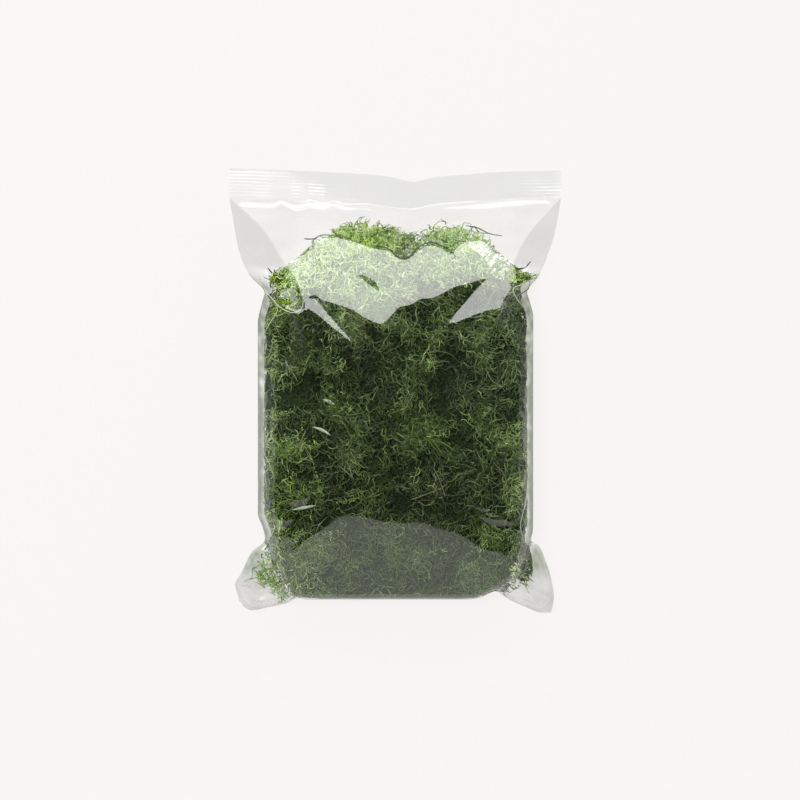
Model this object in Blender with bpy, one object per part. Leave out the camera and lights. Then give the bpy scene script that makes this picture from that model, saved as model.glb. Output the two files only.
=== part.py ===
"""A clear film bag packed with preserved moss, lying on its back.

The bag is one tube of clear film, ribbed and heat-sealed across its head. It is as wide as the flat
tube at the head and at its two foot corners, and narrower where the moss fills it out. The moss is
one packed clump with two lobes at the head and a tuft in each shoulder and each foot corner.

X is the bag's width, Y its length with the head at +Y, and Z is up. The origin is the middle of the
bag's outline, on the surface that it lies on.
"""
import math

import bmesh
import bpy

MM = 0.001

# The bag, lying flat on its back
BAG_WIDTH = 180.0 * MM
BAG_LENGTH = 239.0 * MM
BAG_HEIGHT = 50.5 * MM
BODY_WIDTH = 148.6 * MM
SEAL_HEIGHT = 15.0 * MM
SEAL_DIP = 6.0 * MM
DIP_PLACE = 8.0 * MM
DIP_REACH = 42.0 * MM
SEAL_SAG = 2.5 * MM
RIB_PITCH = 1.8 * MM
RIB_DEPTH = 0.35 * MM
SEAL_THICKNESS = 0.9 * MM
FILM_THICKNESS = 0.7 * MM
GAP = 0.3 * MM
MOSS_CLEARANCE = FILM_THICKNESS + 5 * GAP
MOSS_EDGE_ROUNDING = 7.0 * MM
MOSS_LUMP = 2.4 * MM

HEAD = BAG_LENGTH / 2
HALF_WIDTH = BAG_WIDTH / 2
HALF_BODY = BODY_WIDTH / 2
BODY = HALF_BODY / MM
MOSS = BODY - 4.1
CREST = BAG_HEIGHT / MM
SEAL_FOOT = HEAD - SEAL_HEIGHT
BODY_FOOT = -112.4 * MM
CORNER_START = -80.0 * MM
CORNER_INSET = 21.0 * MM
CORNER_PUFF = 6.5 * MM
CORNER_SLOPE = 12.0 * MM

# Grid sizes: cells across and along each piece
PANEL_CELLS = (22, 28)
MOSS_CELLS = (30, 38)
SEAL_COLUMNS = 14

# Outlines seen from above, in millimetres. A side gives x at each y, an end gives y at each x.
LEFT_SIDE = ((-119.5, -83.5), (-110.0, -86.2), (-105.5, -87.3), (-98.4, -83.5), (-87.0, -77.6),
             (-82.2, -71.8), (-80.0, -70.6), (-75.0, -71.3), (-66.0, -BODY), (36.0, -BODY),
             (47.6, -72.2), (53.0, -70.8), (62.0, -78.4), (69.2, -82.4), (78.0, -85.3),
             (95.1, -88.4), (104.5, -90.0), (119.5, -90.0))
RIGHT_SIDE = ((-119.5, 84.8), (-111.9, 86.2), (-102.2, 84.6), (-90.8, 80.8), (-84.0, 77.6),
              (-80.5, 73.2), (-75.0, BODY), (-66.0, BODY), (40.0, BODY), (47.6, 72.7),
              (53.5, 71.1), (61.6, 77.0), (69.2, 80.6), (87.6, 86.7), (97.8, 88.6),
              (104.5, 89.6), (119.5, 90.0))
FOOT = ((-84.6, -113.5), (-82.2, -116.7), (-78.4, -118.2), (-67.8, -116.2), (-58.4, -114.0),
        (-52.8, -111.4), (-48.0, -112.4), (37.6, -112.4), (46.0, -111.4), (51.1, -108.8),
        (54.6, -107.8), (60.0, -111.4), (72.2, -117.0), (79.0, -119.5), (84.8, -119.5))
MOSS_LEFT = ((-104.0, -76.0), (-98.0, -78.2), (-91.0, -76.0), (-83.0, -69.0), (-75.0, -67.4),
             (-66.0, -MOSS), (36.0, -MOSS), (47.6, -67.8), (54.0, -66.8), (62.0, -70.0))
MOSS_RIGHT = ((-103.0, 73.0), (-97.0, 74.6), (-86.0, 73.0), (-80.0, 69.4), (-70.0, MOSS),
              (38.0, MOSS), (49.0, 67.8), (56.0, 67.6), (63.0, 68.6))
MOSS_HEAD = ((-70.0, 62.0), (-64.0, 65.8), (-52.0, 69.5), (-42.0, 79.0), (-30.0, 85.4),
             (-20.0, 91.6), (-13.0, 92.6), (-6.0, 88.0), (5.0, 79.0), (12.0, 83.0), (20.0, 90.0),
             (29.0, 93.2), (38.0, 89.6), (48.0, 82.6), (56.0, 71.0), (63.0, 67.0), (68.6, 63.0))
MOSS_FOOT = ((-76.0, -104.0), (-72.0, -109.0), (-64.0, -111.6), (-56.0, -110.6), (-50.0, -109.6),
             (-40.0, -110.6), (36.0, -110.6), (45.0, -109.0), (54.0, -105.4), (62.0, -108.0),
             (69.0, -107.4), (73.0, -103.0))

# Heights along the middle line, in millimetres: z at each y
FRONT_RIDGE = ((-119.5, 9.5), (-112.4, 12.0), (-111.0, 20.0), (-106.0, 28.6), (-100.0, 33.0),
               (-70.0, 45.5), (-50.0, CREST - 1.9), (0.0, CREST), (30.0, CREST - 1.1),
               (42.0, 46.0), (80.0, 21.5), (104.5, 15.4))
BACK_RIDGE = ((-119.5, 9.0), (-112.4, 10.4), (-109.0, 4.0), (-103.0, 0.6), (-99.0, 0.0),
              (52.0, 0.0), (64.0, 2.2), (104.5, 14.6))
EDGE_LEVEL = ((-119.5, 9.0), (-112.0, 10.0), (-98.0, 14.0), (-80.0, 21.0), (-60.0, 24.0),
              (20.0, 24.0), (53.0, 20.5), (104.5, 15.0), (119.5, 14.0))
SIDE_ROUNDING = ((-112.4, 20.0), (-90.0, 24.0), (40.0, 24.0), (66.5, 30.0), (104.5, 1.5))


def clear_scene():
    for item in list(bpy.data.objects):
        bpy.data.objects.remove(item, do_unlink=True)


def step(low, high, value):
    """Rise smoothly from 0 at low to 1 at high."""
    share = min(max((value - low) / (high - low), 0.0), 1.0)
    return share * share * (3.0 - 2.0 * share)


def curve(knots, place):
    """Read a smooth curve through knots given in millimetres, with no overshoot between them."""
    place = min(max(place / MM, knots[0][0]), knots[-1][0])
    index = 0
    while index < len(knots) - 2 and place > knots[index + 1][0]:
        index += 1

    def chord(number):
        (start, low), (end, high) = knots[number], knots[number + 1]
        return (high - low) / (end - start)

    def tangent(number):
        if number == 0 or number == len(knots) - 1:
            return chord(min(number, len(knots) - 2))
        before, after = chord(number - 1), chord(number)
        return 0.0 if before * after <= 0.0 else 2.0 * before * after / (before + after)

    (start, low), (end, high) = knots[index], knots[index + 1]
    span = end - start
    share = (place - start) / span
    value = low * (1 + 2 * share) * (1 - share) ** 2 + high * share ** 2 * (3 - 2 * share)
    value += span * tangent(index) * share * (1 - share) ** 2
    value -= span * tangent(index + 1) * share ** 2 * (1 - share)
    return value * MM


def dip(x):
    """The shape of the bend in the head seal, deepest a little right of the middle."""
    return math.exp(-((x - DIP_PLACE) / DIP_REACH) ** 2)


def seal_head(x):
    return HEAD - SEAL_DIP * dip(x)


def seal_foot(x):
    return seal_head(x) - SEAL_HEIGHT


def head_sag(x, y):
    """How far the middle of the head hangs below its two ends."""
    return SEAL_SAG * dip(x) * step(60.0 * MM, 104.0 * MM, y)


def as_straight_ends(x, y):
    """Move y by as much as the bag's ends bend inwards there, so that heights can be read by y alone."""
    head_dip = SEAL_FOOT - seal_foot(x)
    foot_dip = max(curve(FOOT, x) - BODY_FOOT, 0.0)
    return y + head_dip * step(40.0 * MM, 100.0 * MM, y) - foot_dip * step(-80.0 * MM, -104.0 * MM, y)


def body_side(side, y):
    """The filled body's own side, which leaves the film's corner outside it near the foot."""
    outline = LEFT_SIDE if side < 0 else RIGHT_SIDE
    if y > CORNER_START:
        return curve(outline, y)
    share = min((CORNER_START - y) / (CORNER_START - BODY_FOOT), 1.0)
    return curve(outline, CORNER_START) - side * CORNER_INSET * share ** 2.2


def fullness(x, y):
    """How far the bag is filled out at a place: 0 at the body's edge and 1 over its middle."""
    inside = min(x - body_side(-1, y), body_side(1, y) - x)
    share = min(max(inside / curve(SIDE_ROUNDING, as_straight_ends(x, y)), 0.0), 1.0)
    rounded = math.sqrt(1.0 - (1.0 - share) ** 2)
    tent = share + 0.12 * math.sin(math.pi * share)
    return rounded + (tent - rounded) * step(44.0 * MM, 66.0 * MM, y)


def corner_puff(x, y):
    """The little that each film bulges over the moss in the two foot corners."""
    from_side = min(x - curve(LEFT_SIDE, y), curve(RIGHT_SIDE, y) - x)
    from_foot = y - curve(FOOT, x)
    near_foot = step(-74.0 * MM, -90.0 * MM, y)
    return CORNER_PUFF * near_foot * step(0.0, CORNER_SLOPE, from_side) * step(0.0, CORNER_SLOPE, from_foot)


def edge_level(x, y):
    return curve(EDGE_LEVEL, y) - head_sag(x, y)


def edge_offset(x, y):
    """Keep the two panels apart where they meet: more where they lie flat on each other."""
    in_corner = step(52.0 * MM, 64.0 * MM, abs(x)) * step(-78.0 * MM, -90.0 * MM, y)
    flat = max(step(56.0 * MM, 80.0 * MM, y), in_corner)
    return GAP / 2 + FILM_THICKNESS * (0.6 + 0.45 * flat)


def film_height(x, y, face):
    """The outer height of the front film (face 1) or the back film (face -1)."""
    level = edge_level(x, y)
    ridge = curve(FRONT_RIDGE if face > 0 else BACK_RIDGE, as_straight_ends(x, y)) - head_sag(x, y)
    rise = max(face * (ridge - level), 0.0) * fullness(x, y)
    return max(level + face * (edge_offset(x, y) + max(rise, corner_puff(x, y))), 0.0)


def outline_point(across, along, left, right, head, foot):
    """Place (across, along), each 0 to 1, inside four edges: along runs from the head to the foot."""
    left_head, right_head = left(head(-1.0)), right(head(1.0))
    left_foot, right_foot = left(foot(-1.0)), right(foot(1.0))
    x_head = left_head + (right_head - left_head) * across
    x_foot = left_foot + (right_foot - left_foot) * across
    y_left = head(left_head) + (foot(left_foot) - head(left_head)) * along
    y_right = head(right_head) + (foot(right_foot) - head(right_head)) * along
    sides_x = left(y_left) * (1 - across) + right(y_right) * across
    ends_x = x_head * (1 - along) + x_foot * along
    corners_x = (left_head * (1 - across) + right_head * across) * (1 - along)
    corners_x += (left_foot * (1 - across) + right_foot * across) * along
    sides_y = y_left * (1 - across) + y_right * across
    ends_y = head(x_head) * (1 - along) + foot(x_foot) * along
    corners_y = (head(left_head) * (1 - across) + head(right_head) * across) * (1 - along)
    corners_y += (foot(left_foot) * (1 - across) + foot(right_foot) * across) * along
    return sides_x + ends_x - corners_x, sides_y + ends_y - corners_y


def film_point(across, along):
    return outline_point(across, along, lambda y: curve(LEFT_SIDE, y), lambda y: curve(RIGHT_SIDE, y),
                         lambda x: seal_foot(x) - GAP, lambda x: curve(FOOT, x))


def moss_point(across, along):
    return outline_point(across, along, lambda y: curve(MOSS_LEFT, y), lambda y: curve(MOSS_RIGHT, y),
                         lambda x: curve(MOSS_HEAD, x), lambda x: curve(MOSS_FOOT, x))


def crowd_to_ends(share, strength):
    """Move grid lines towards both ends, where the surface turns most."""
    return share - strength * math.sin(2 * math.pi * share) / (2 * math.pi)


def laid_grid(bm, cells, place):
    """Add a grid and put each of its points at place(across, along)."""
    grid = bmesh.ops.create_grid(bm, x_segments=cells[0], y_segments=cells[1], size=0.5)
    for vert in grid["verts"]:
        vert.co = place(vert.co.x + 0.5, 0.5 - vert.co.y)
    return grid["verts"]


def finish(name, bm, material):
    """Make a smooth-shaded object of the finished mesh."""
    mesh = bpy.data.meshes.new(name)
    bm.to_mesh(mesh)
    bm.free()
    mesh.shade_smooth()
    mesh.materials.append(material)
    piece = bpy.data.objects.new(name, mesh)
    bpy.context.collection.objects.link(piece)
    return piece


def plain_material(name, colour, roughness, transmission=0.0):
    material = bpy.data.materials.new(name)
    material.use_nodes = True
    surface = material.node_tree.nodes["Principled BSDF"]
    surface.inputs["Base Color"].default_value = (*colour, 1.0)
    surface.inputs["Roughness"].default_value = roughness
    surface.inputs["Metallic"].default_value = 0.0
    surface.inputs["Transmission Weight"].default_value = transmission
    material.diffuse_color = (*colour, 1.0)
    return material


def add_thickness(piece, thickness, offset):
    wall = piece.modifiers.new("wall", "SOLIDIFY")
    wall.thickness = thickness
    wall.offset = offset
    wall.use_even_offset = False


def make_film_panel(name, face, material):
    """One face of the film tube, from the head seal to the foot: an open shell round half the moss."""
    def place(across, along):
        across = crowd_to_ends(across, 0.82)
        along = crowd_to_ends(along, 0.35)
        x, y = film_point(across, along)
        return x, y, film_height(x, y, face)

    bm = bmesh.new()
    laid_grid(bm, PANEL_CELLS, place)
    bmesh.ops.recalc_face_normals(bm, faces=bm.faces)
    facing = sum(f.normal.z * f.calc_area() for f in bm.faces)
    if facing * face < 0:
        bmesh.ops.reverse_faces(bm, faces=bm.faces)
    panel = finish(name, bm, material)
    add_thickness(panel, FILM_THICKNESS, -1.0)
    return panel


def make_head_seal(material):
    """The strip where both films are fused, pressed into ribs that run across the bag."""
    rows = 2 * int(SEAL_HEIGHT / RIB_PITCH)

    def place(across, along):
        x = HALF_WIDTH * (2 * across - 1)
        row = round(along * rows)
        rib = RIB_DEPTH * (1 if row % 2 else -1)
        y = seal_head(x) - SEAL_HEIGHT * along
        return x, y, edge_level(x, y) + rib

    bm = bmesh.new()
    laid_grid(bm, (SEAL_COLUMNS, rows), place)
    bmesh.ops.recalc_face_normals(bm, faces=bm.faces)
    seal = finish("head_seal", bm, material)
    add_thickness(seal, SEAL_THICKNESS, 0.0)
    return seal


def moss_lumps(x, y, face):
    """Hollows between the tufts that the clump is made of, 0 on a tuft and 1 between tufts."""
    a = math.sin(x / (5.3 * MM) + 1.7 * math.sin(y / (11.0 * MM)) + 0.6 * face)
    b = math.sin(y / (6.1 * MM) + 1.9 * math.sin(x / (9.0 * MM) + 1.1) + 0.8 * face)
    return 0.5 + 0.25 * (a + b)


def film_inside(x, y, face):
    """The height just inside a film: its outer height, less MOSS_CLEARANCE square to the film."""
    heights = [face * film_height(x, y, face) - MOSS_CLEARANCE]
    reach, drop = 0.8 * MOSS_CLEARANCE, 0.6 * MOSS_CLEARANCE
    for turn in range(8):
        angle = math.pi * turn / 4
        near = film_height(x + reach * math.cos(angle), y + reach * math.sin(angle), face)
        heights.append(face * near - drop)
    return face * min(heights)


def moss_height(x, y, rim, face):
    """The clump's surface under a film, falling to the middle level at its own rim."""
    top = film_inside(x, y, 1)
    bottom = film_inside(x, y, -1)
    middle = (top + bottom) / 2
    half = max((top - bottom) / 2, 0.1 * MM)
    if face > 0:
        half = max(half - MOSS_LUMP * moss_lumps(x, y, face), half * 0.4)
    return middle + face * half * rim


def make_moss_clump(material):
    """The packed moss: one lumpy body that follows the film and is flat where the bag rests."""
    def place_on(face):
        def place(across, along):
            across = crowd_to_ends(across, 0.62)
            along = crowd_to_ends(along, 0.55)
            x, y = moss_point(across, along)
            edge = 2 * min(across * HALF_BODY, (1 - across) * HALF_BODY, along * HEAD, (1 - along) * HEAD)
            share = min(max(edge / MOSS_EDGE_ROUNDING, 0.0), 1.0)
            return x, y, moss_height(x, y, math.sqrt(1.0 - (1.0 - share) ** 2), face)
        return place

    bm = bmesh.new()
    laid_grid(bm, MOSS_CELLS, place_on(1))
    laid_grid(bm, MOSS_CELLS, place_on(-1))
    bmesh.ops.remove_doubles(bm, verts=bm.verts, dist=0.001 * MM)
    bmesh.ops.recalc_face_normals(bm, faces=bm.faces)
    return finish("moss_clump", bm, material)


def build():
    clear_scene()
    film = plain_material("clear_film", (0.86, 0.88, 0.87), 0.12, transmission=0.9)
    seal = plain_material("ribbed_seal", (0.80, 0.81, 0.81), 0.30, transmission=0.5)
    moss = plain_material("moss_green", (0.055, 0.105, 0.030), 0.85)
    make_moss_clump(moss)
    make_film_panel("film_front", 1, film)
    make_film_panel("film_back", -1, film)
    make_head_seal(seal)


build()
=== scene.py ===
"""The finish of a clear film bag packed with curly moss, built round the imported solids.

The bag lies on its back, its ribbed head seal towards +Y. The film is one continuous clear sheet that
climbs from the seal over the moss, and the moss is thousands of curly strands pressed against it.
Places and sizes are in millimetres until a mesh is made, which turns them into metres.
"""
import math

import bpy
import numpy as np
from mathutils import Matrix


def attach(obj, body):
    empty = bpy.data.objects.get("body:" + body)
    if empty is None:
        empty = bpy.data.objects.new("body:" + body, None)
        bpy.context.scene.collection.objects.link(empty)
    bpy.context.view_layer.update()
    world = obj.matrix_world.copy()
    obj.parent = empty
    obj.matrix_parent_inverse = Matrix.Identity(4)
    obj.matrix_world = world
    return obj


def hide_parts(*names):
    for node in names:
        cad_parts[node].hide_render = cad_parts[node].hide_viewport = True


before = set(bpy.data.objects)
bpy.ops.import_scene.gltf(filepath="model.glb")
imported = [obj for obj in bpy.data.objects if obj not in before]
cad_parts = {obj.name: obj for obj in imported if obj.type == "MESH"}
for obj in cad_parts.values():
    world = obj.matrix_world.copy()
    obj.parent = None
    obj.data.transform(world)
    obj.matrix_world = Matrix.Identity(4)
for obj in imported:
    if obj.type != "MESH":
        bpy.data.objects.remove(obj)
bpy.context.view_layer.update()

MM = 0.001

# The bag's sizes
FLAT_WIDTH = 180
HALF_BODY = 74.3
HALF_MOSS = HALF_BODY - 3.4
CREST = 50.5
HEAD = 119.5
BODY_FOOT = -113.6
SEAL_HEIGHT = 15
SEAL_LEVEL = 15.2
SEAL_DIP = 6
SEAL_SAG = 2.5
DIP_PLACE = 8
DIP_REACH = 42
CORNER_START = -80
CORNER_PUFF = 6.5
CORNER_SLOPE = 12
FOOT_ROUNDING = 4.6
PLATEAU_END = 10
PLATEAU_FALL = 0.05
RIB_PITCH = 1.8
RIB_DEPTH = 0.20
LAYER_GAP = 0.12
FAR = 1000

# Grids of the closed sheets: columns and rows
FILM_CELLS = (172, 230)
SEAL_CELLS = (100, 54)
CORE_CELLS = (46, 62)
MOSS_CELLS = (90, 120)

# Outlines from above: x at each y for the sides, y at each x for the ends
LEFT_SIDE = (
    (-120.7, -83.5), (-110, -86.2), (-105.5, -87.3), (-98.4, -83.5), (-87, -77.6), (-82.2, -71.8),
    (-80, -70.6), (-75, -71.3), (-66, -HALF_BODY), (36, -HALF_BODY), (47.6, -72.2), (53, -70.8),
    (62, -78.4), (69.2, -82.4), (78, -85.3), (95.1, -88.4), (104.5, -90), (119.5, -90),
)
RIGHT_SIDE = (
    (-120.7, 84.8), (-111.9, 86.2), (-102.2, 84.6), (-90.8, 80.8), (-84, 77.6), (-80.5, 73.2),
    (-75, HALF_BODY), (-66, HALF_BODY), (40, HALF_BODY), (47.6, 72.7), (53.5, 71.1), (61.6, 77),
    (69.2, 80.6), (87.6, 86.7), (97.8, 88.6), (104.5, 89.6), (119.5, 90),
)
FOOT = (
    (-84.6, -114.7), (-82.2, -117.9), (-78.4, -119.4), (-67.8, -117.4), (-58.4, -115.2), (-52.8, -112.6),
    (-48, -113.6), (37.6, -113.6), (46, -112.6), (51.1, -110), (54.6, -109), (60, -112.6), (72.2, -118.2),
    (79, -120.7), (84.8, -120.7),
)
BODY_LEFT = (
    (-113.6, -54), (-112.6, -57), (-108.2, -61.5), (-98.9, -65.5), (-89.3, -68), (-80, -70.6),
)
BODY_RIGHT = (
    (-113.6, 48), (-112.6, 51), (-108.2, 58), (-97.4, 70), (-88.7, 72), (-80, 73.2),
)
MOSS_LEFT = (
    (-104, -76), (-98, -78.2), (-91, -76), (-83, -69), (-75, -67.4), (-66, -HALF_MOSS), (36, -HALF_MOSS),
    (47.6, -67.8), (54, -66.8), (62, -70),
)
MOSS_RIGHT = (
    (-103, 73), (-97, 74.6), (-86, 73), (-80, 69.4), (-70, HALF_MOSS), (38, HALF_MOSS), (49, 67.8),
    (56, 67.6), (63, 68.6),
)
MOSS_HEAD = (
    (-70, 60), (-64, 64), (-56, 67.5), (-52, 71.5), (-47.4, 76.6), (-44.4, 82.4), (-38, 85.2),
    (-32, 87.4), (-24, 90.4), (-16, 92.4), (-8.3, 91.2), (-3.2, 88), (3.2, 86.4), (8.3, 84), (12.2, 84.6),
    (15, 88.4), (21, 90.8), (30, 92), (37.7, 90.8), (42.8, 88.8), (49.2, 84.8), (53, 78), (58, 71.5),
    (63, 67), (68.6, 62),
)
MOSS_FOOT = (
    (-76, -105), (-72, -110.2), (-64, -112.8), (-56, -112.4), (-50, -112), (-40, -112.9), (36, -112.9),
    (45, -111.4), (54, -107.6), (62, -109), (69, -108.4), (73, -104),
)

# Heights along the bag: the back film's lowest line, and the level where front and back meet
BACK_RIDGE = (
    (-120.7, 9), (-113.6, 10.4), (-110, 4), (-103, 0.6), (-99, 0), (52, 0), (64, 2.2), (104.5, 14.6),
)
EDGE_LEVEL = (
    (-119.5, 9), (-112, 10), (-98, 14), (-80, 21), (-60, 24), (20, 24), (53, 20.5), (104.5, 15),
    (119.5, 14),
)

# How far in from each side the body is rounded, at each y
LEFT_ROUNDING = (
    (-112.4, 11), (-96, 13), (-76, 22), (-20, 25), (22, 27), (41, 20), (48, 9.4), (58, 9), (68, 12.5),
    (76, 14.5), (88, 13.6), (95, 9.2), (104.5, 1),
)
RIGHT_ROUNDING = (
    (-112.4, 11), (-96, 13), (-76, 22), (-20, 25), (22, 26), (44, 18), (55, 9.4), (63, 10), (70, 12.5),
    (78, 14.5), (88, 13.6), (95, 9.6), (104.5, 1),
)

# The inner edges of the film's grey folded triangles beside the head: x at each y
LEFT_TRIANGLE = ((66, -58.4), (85.3, -69.9), (105, -90))
RIGHT_TRIANGLE = ((66, 62.4), (76.5, 67), (85.3, 72.1), (105, 89.7))

# Where the front film turns: y at each x, and how steeply it climbs between the first two turns
CLIMB_START = (
    (-57, 70.5), (-52, 73.5), (-46.5, 77), (-44, 84), (-36, 84.8), (-27, 84.2), (-13, 80.2), (-4, 78.6),
    (0, 75), (4, 73), (8, 74.6), (13, 79.4), (19, 82), (25, 80), (31, 76.2), (35, 82), (47, 83.6),
    (50.5, 79.6), (54, 76), (61, 71.5),
)
CLIMB_END = (
    (-57, 50), (-51, 49.4), (-47.4, 50), (-44, 51.6), (-37.4, 48.5), (-29, 45.4), (-23, 43.2),
    (-17.8, 39.6), (-12.5, 36.8), (-8.6, 35.2), (-6.2, 35.8), (2.4, 45), (8.8, 46.4), (13, 49.8),
    (18.3, 50), (24.2, 52.4), (30, 56), (39.5, 58.4), (50, 60.8), (54, 60), (60, 57),
)
FOOT_FALL = (
    (-69, -90), (-64.8, -88.1), (-53.6, -82.3), (-46.1, -77.5), (-37.1, -71.1), (-32.3, -67.3),
    (-25.9, -64.7), (-15.7, -65.7), (-5.6, -67.9), (2.4, -68.4), (12, -67.3), (20.5, -70), (29.6, -72.7),
    (38.4, -77.5), (45.9, -82.5), (53.5, -86.3), (65.9, -87.6),
)
CLIMB_TREND = (
    (-57, 70.5), (-52, 73.5), (-44, 79), (0, 78), (46, 78), (54, 76), (61, 71.5),
)
CLIMB_STEEPNESS = (
    (-56, 0.51), (-44, 0.53), (-34, 0.57), (-20, 0.56), (-9, 0.53), (2, 0.55), (12, 0.57), (44, 0.57),
    (54, 0.53), (62, 0.51),
)

# The border of each shoulder: x at each y
LEFT_SHOULDER = ((44, -47.6), (53, -50.7), (61, -54), (67, -57.2))
RIGHT_SHOULDER = ((53.5, 61), (71, 63.6))

# The front film's slopes: next to the seal, over the crest, down the foot, where the climb settles into the
# crest, in the shoulders, down their flanks, and in the puffed band below the seal
SEAL_SLOPE = 0.20
FALL_SLOPE = 0.18
LOW_SLOPE = 0.34
SETTLING_SLOPE = 0.27
SHOULDER_SLOPE = 0.38
FLANK_SLOPE = 0.70
PUFF_SLOPE = 0.34

# The seal's upper and lower edges: y at each x, the lower drawn up in scallops where the film puckers
SEAL_TOP = (
    (-90, 121), (-64.9, 120.2), (-24.7, 118.4), (-8.5, 117.4), (-0.3, 116), (5.1, 114.8), (10, 113.9),
    (14, 114.7), (20.8, 116.4), (39.8, 118.1), (64.8, 119.5), (90, 119.8),
)
SEAL_EDGE = (
    (-90, 104.7), (-70.8, 103.1), (-66.5, 103.4), (-62.2, 105.4), (-58, 103.4), (-54, 102.2), (-50, 103),
    (-46.4, 104.1), (-42.5, 103), (-38.8, 102.2), (-36, 103.1), (-33.4, 103.8), (-30.5, 102.8),
    (-27.4, 102), (-17.7, 102.1), (-8.5, 100.9), (-0.3, 99.8), (8.4, 99.3), (18.1, 101.4), (27.4, 102.5),
    (37.1, 103.1), (53.9, 103.8), (70.8, 105.2), (90, 105.8),
)


def step(low, high, value):
    """Rise smoothly from 0 at low to 1 at high."""
    share = np.clip((value - low) / (high - low), 0, 1)
    return share * share * (3 - 2 * share)


def mix(first, second, share):
    """Go from first, at a share of 0, to second, at 1."""
    return first + (second - first) * share


def unit(vectors):
    """Vectors scaled to a length of 1, or left near 0 where they have none."""
    return vectors / np.maximum(np.linalg.norm(vectors, axis=-1, keepdims=True), 1e-6)


def quarter_round(share):
    """Rise from 0 to 1 like a quarter of a circle, steep at first."""
    return np.sqrt(1 - (1 - np.clip(share, 0, 1)) ** 2)


def hermite(share, span, first, second, first_slope, second_slope):
    """A smooth way from first to second over a span, with a slope at each end."""
    value = first * (1 + 2 * share) * (1 - share) ** 2 + second * share ** 2 * (3 - 2 * share)
    return value + span * share * (1 - share) * (first_slope * (1 - share) - second_slope * share)


def curve(knots, place):
    """Read a smooth curve through knots, with no overshoot between them."""
    starts, values = np.array(knots, float).T
    place = np.clip(np.asarray(place, float), starts[0], starts[-1])
    chords = np.diff(values) / np.diff(starts)
    before, after = chords[:-1], chords[1:]
    both = before + after
    inner = np.where(before * after > 0, 2 * before * after / np.where(both == 0, 1, both), 0)
    tangents = np.concatenate([chords[:1], inner, chords[-1:]])
    index = np.clip(np.searchsorted(starts, place, side="left") - 1, 0, len(starts) - 2)
    span = starts[index + 1] - starts[index]
    share = (place - starts[index]) / span
    return hermite(share, span, values[index], values[index + 1], tangents[index], tangents[index + 1])


def ramp(distance, softness):
    """Distance where it is positive, else 0, with a soft corner."""
    return softness * np.logaddexp(0, distance / softness)


def waves(x, y, z, length, seed, count=7):
    """Soft irregular relief from -1 to 1, of about the given wavelength."""
    rng = np.random.default_rng(seed)
    total = 0
    for _ in range(count):
        way = rng.normal(size=3)
        way *= 2 * math.pi / (length * rng.uniform(0.75, 1.5) * np.linalg.norm(way))
        total = total + np.sin(way[0] * x + way[1] * y + way[2] * z + rng.uniform(0, 7))
    return total / math.sqrt(count) / 1.4


# The bag's form
def dip(x):
    """How far a place is in the dip of the head seal, from 0 to 1."""
    return np.exp(-((x - DIP_PLACE) / DIP_REACH) ** 2)


def seal_top(x):
    return curve(SEAL_TOP, x)


def seal_edge(x):
    return curve(SEAL_EDGE, x)


def head_sag(x, y):
    """How far the empty head sinks under the seal's dip."""
    return SEAL_SAG * dip(x) * step(60, 104, y)


def as_straight_ends(x, y):
    """Move y by as much as the bag's ends bend inwards there, so that heights can be read by y alone."""
    foot_dip = np.maximum(curve(FOOT, x) - BODY_FOOT, 0)
    return y + SEAL_DIP * dip(x) * step(40, 100, y) - foot_dip * step(-80, -104, y)


def body_side(side, y):
    """The filled body's own side, which leaves the film's corner outside it near the foot."""
    outline, near_foot = (LEFT_SIDE, BODY_LEFT) if side < 0 else (RIGHT_SIDE, BODY_RIGHT)
    return np.where(y >= CORNER_START, curve(outline, y), curve(near_foot, y))


def fullness(x, y):
    """How far the bag is filled out at a place: 0 at the body's edge and 1 over its middle."""
    straight = as_straight_ends(x, y)
    from_left = (x - body_side(-1, y)) / curve(LEFT_ROUNDING, straight)
    from_right = (body_side(1, y) - x) / curve(RIGHT_ROUNDING, straight)
    share = np.clip(np.minimum(from_left, from_right), 0, 1)
    roof = share + 0.05 * np.sin(math.pi * share)
    return mix(quarter_round(share), roof, step(-30, 60, y))


def corner_puff(x, y):
    """How far each film stands off in the clear corners of the foot."""
    from_side = np.minimum(x - curve(LEFT_SIDE, y), curve(RIGHT_SIDE, y) - x)
    from_foot = y - curve(FOOT, x)
    near_foot = step(-74, -90, y)
    return CORNER_PUFF * near_foot * step(0, CORNER_SLOPE, from_side) * step(0, CORNER_SLOPE, from_foot)


def edge_level(x, y):
    """The height at which the front and back film meet."""
    return curve(EDGE_LEVEL, y) - head_sag(x, y)


def plateau(y):
    """The height of the filled body's top."""
    return CREST - PLATEAU_FALL * ramp(y - PLATEAU_END, 6)


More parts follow.
